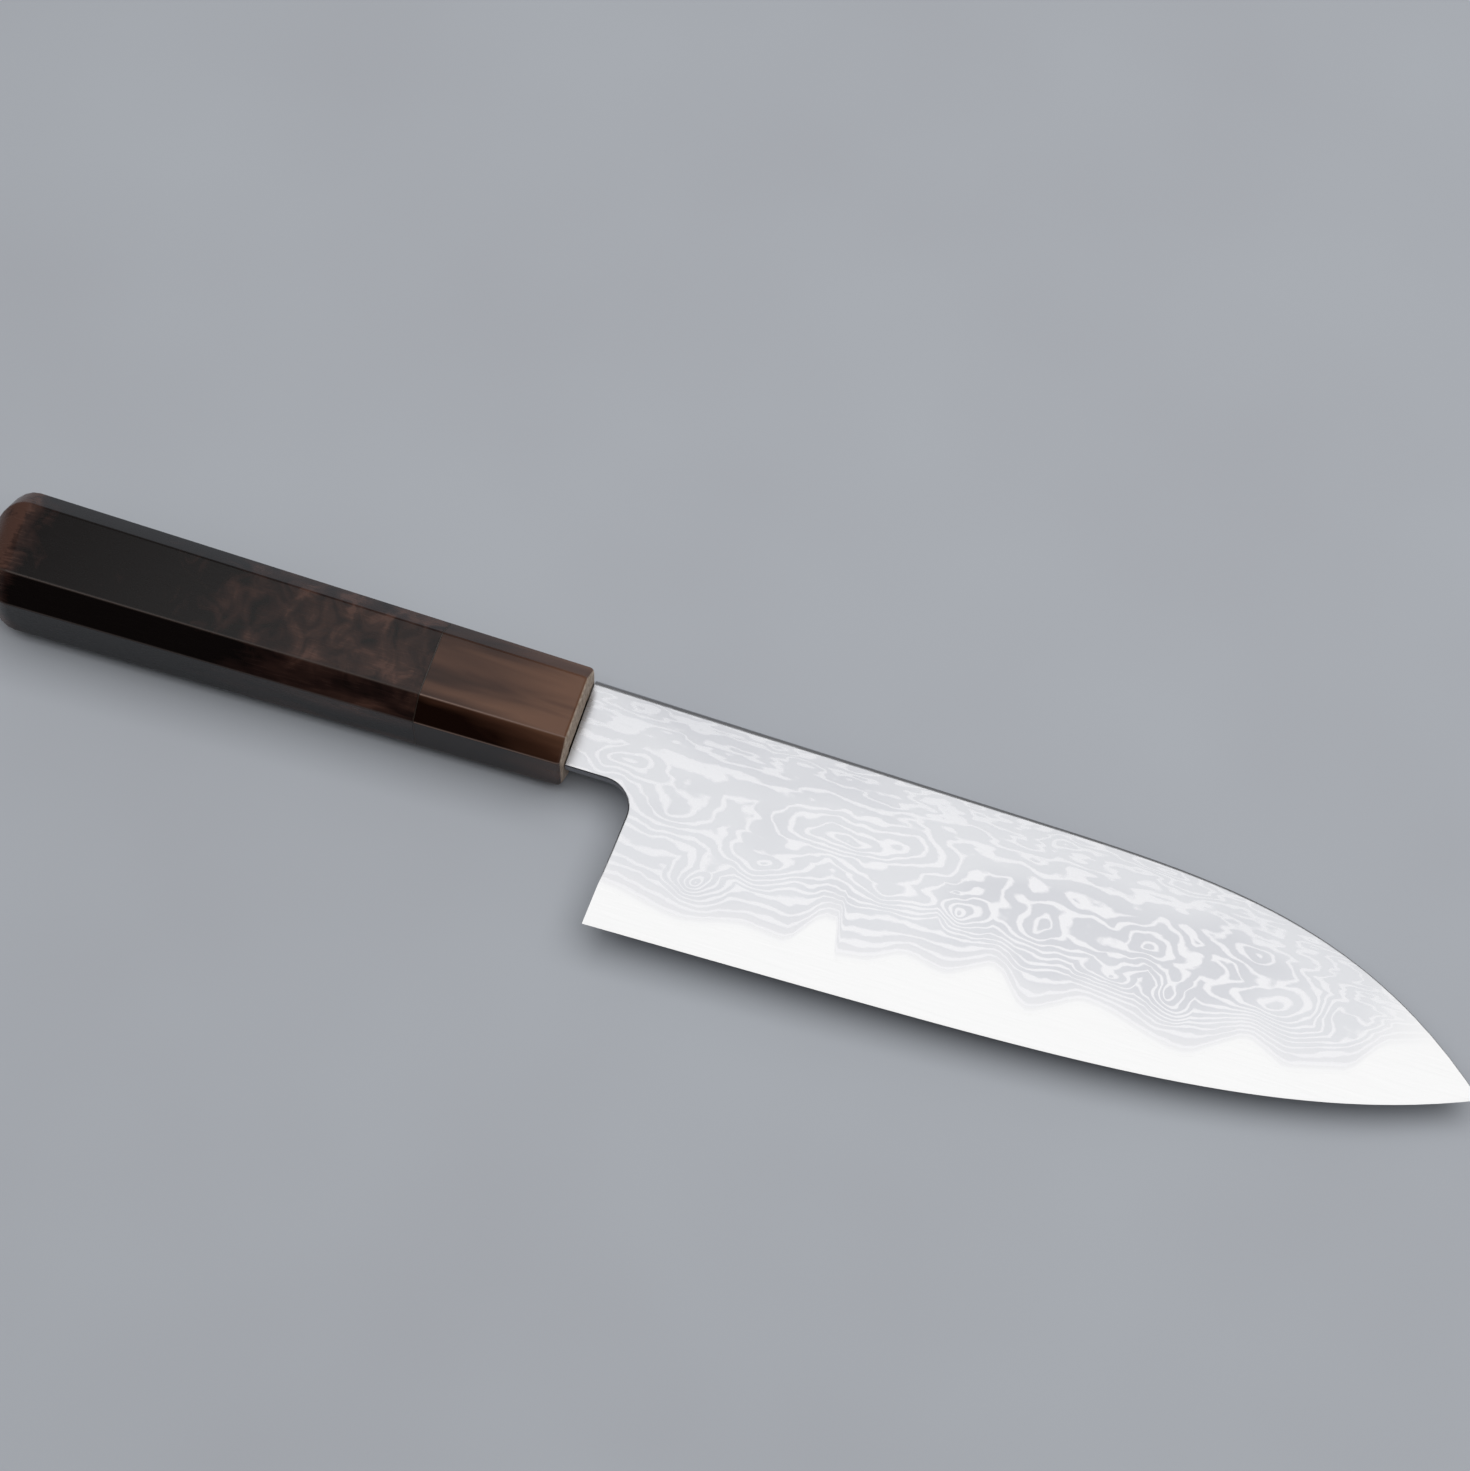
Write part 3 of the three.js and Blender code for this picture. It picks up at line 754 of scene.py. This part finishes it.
# handle; lengths in millimetres
handle = {
    "tones": ((0.4, "#100b0a"), (0.54, "#261815"), (0.68, "#3a2721"), (0.8, "#553b32")),
    # the figure's flecks on the top, drawn out on the belly side, and the fibres of both
    "flecks": {"size": 5.2, "stretch": (1.15, 0.85, 1), "degrees": 20, "detail": 5, "bend": 0.9},
    "drawnOut": {"size": 4.68, "stretch": (0.25, 1, 1), "detail": 3, "bend": 0.6},
    "fibres": {"size": 0.5, "stretch": (0.12, 1, 1), "detail": 2},
    "frontFrom": -121,  # figured from here, and fully from frontTo to the ferrule
    "frontTo": -83,
    "frontFigure": 1.2,
    "buttFrom": -138,  # and again at the butt
    "buttTo": -149,
    "buttFigure": 1.6,
    "plainShift": -0.3,  # where there is no figure
    "bellySide": 5,
    "bellyBlend": 2,
    "bellyPaintedShade": 0.13,  # painted shade: the figure is fainter and darker there
    "feathering": 0.16,
    "buttFeathering": 0.4,
    "roughness": (0.2, 0.32),
    "ior": 1.5,
    "gloss": 0.2,
    "wornAndHighlit": "#4a3f3a",  # ridges, rubbed paler, and a painted highlight
    "spineSideShare": 0.3,
    "foldWidth": 0.45,
    "fullRidgeBelow": 13,
    "sharpDegrees": 35,
}


def makeBurl():
    # dense ironwood burl, oiled and buffed: near black, with patches of feathery red-brown figure,
    # painted shade on the belly side, and a soft gloss; its fibres are coarser here than the real
    # ones, so that they show
    material, tree, shader, place = startMaterial("buffed ironwood burl")
    axes = addNode(tree, "ShaderNodeSeparateXYZ", {"Vector": place}).outputs
    flecks, drawnOut, fibres = (
        drawnOutGrain(tree, place, **handle[name]) for name in ("flecks", "drawnOut", "fibres")
    )
    topSide = addNode(
        tree, "ShaderNodeMapRange",
        {"Value": axes["Y"], "From Min": (handle["bellySide"] - handle["bellyBlend"]) * mm,
         "From Max": (handle["bellySide"] + handle["bellyBlend"]) * mm},
    ).outputs["Result"]
    # the belly side's figure, darkened as painted shade
    fainterAndShaded = addNode(
        tree, "ShaderNodeMath", {0: drawnOut, 1: handle["bellyPaintedShade"]}, operation="SUBTRACT",
    ).outputs[0]
    figure = addNode(tree, "ShaderNodeMix", {0: topSide, 2: fainterAndShaded, 3: flecks}).outputs[0]

    front = addNode(
        tree, "ShaderNodeMapRange",
        {"Value": axes["X"], "From Min": handle["frontFrom"] * mm,
         "From Max": handle["frontTo"] * mm, "To Max": handle["frontFigure"]},
        interpolation_type="SMOOTHSTEP",
    ).outputs["Result"]
    butt = addNode(
        tree, "ShaderNodeMapRange",
        {"Value": axes["X"], "From Min": handle["buttFrom"] * mm,
         "From Max": handle["buttTo"] * mm},
        interpolation_type="SMOOTHSTEP",
    ).outputs["Result"]
    figured = addNode(
        tree, "ShaderNodeMath", {0: butt, 1: handle["buttFigure"], 2: front},
        operation="MULTIPLY_ADD",
    ).outputs[0]
    reach = addNode(
        tree, "ShaderNodeMapRange",
        {"Value": figured, "To Min": handle["plainShift"], "To Max": 0}, clamp=False,
    ).outputs["Result"]
    feathering = addNode(
        tree, "ShaderNodeMapRange",
        {"Value": butt, "To Min": handle["feathering"], "To Max": handle["buttFeathering"]},
    ).outputs["Result"]
    feathered = addNode(
        tree, "ShaderNodeMath", {0: fibres, 1: feathering, 2: reach}, operation="MULTIPLY_ADD",
    ).outputs[0]
    shown = addNode(
        tree, "ShaderNodeMath", {0: figure, 1: feathered}, operation="ADD",
    ).outputs[0]
    tone = addNode(
        tree, "ShaderNodeValToRGB", {"Fac": shown}, stops=handle["tones"],
    ).outputs["Color"]
    tree.links.new(paintRidgeWearAndHighlight(tree, tone, handle["wornAndHighlit"]), shader.inputs["Base Color"])
    shiny, dull = handle["roughness"]
    gloss = addNode(
        tree, "ShaderNodeMapRange", {"Value": fibres, "To Min": shiny, "To Max": dull},
    ).outputs["Result"]
    tree.links.new(gloss, shader.inputs["Roughness"])
    shader.inputs["IOR"].default_value = handle["ior"]
    shader.inputs["Specular IOR Level"].default_value = handle["gloss"]
    return material


grip = copyNode("handle_body", "wood_handle", makeBurl(), handle["sharpDegrees"])
markRidgeWearAndHighlight(grip, handle)
print("handle dressed")

# joinery inside the handle; lengths in millimetres
joinery = {
    "tones": ((0.35, "#a9865a"), (0.65, "#d2b285")),
    "grain": {"size": 0.8, "stretch": (0.05, 1, 1), "detail": 4},
    "roughness": 0.7,
}


def makeDowelWood():
    # plain hardwood, turned and left dry: matt and straw brown, with straight grain lengthwise,
    # coarser here than the real one so that it shows
    material, tree, shader, place = startMaterial("turned dowel wood")
    tone = addNode(
        tree, "ShaderNodeValToRGB", {"Fac": drawnOutGrain(tree, place, **joinery["grain"])},
        stops=joinery["tones"],
    ).outputs["Color"]
    tree.links.new(tone, shader.inputs["Base Color"])
    shader.inputs["Roughness"].default_value = joinery["roughness"]
    return material


for node, material in (("handle_dowel", makeDowelWood()), ("tang_bedding", adhesive)):
    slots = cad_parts[node].data.materials
    slots.clear()
    slots.append(material)
print("joinery dressed")
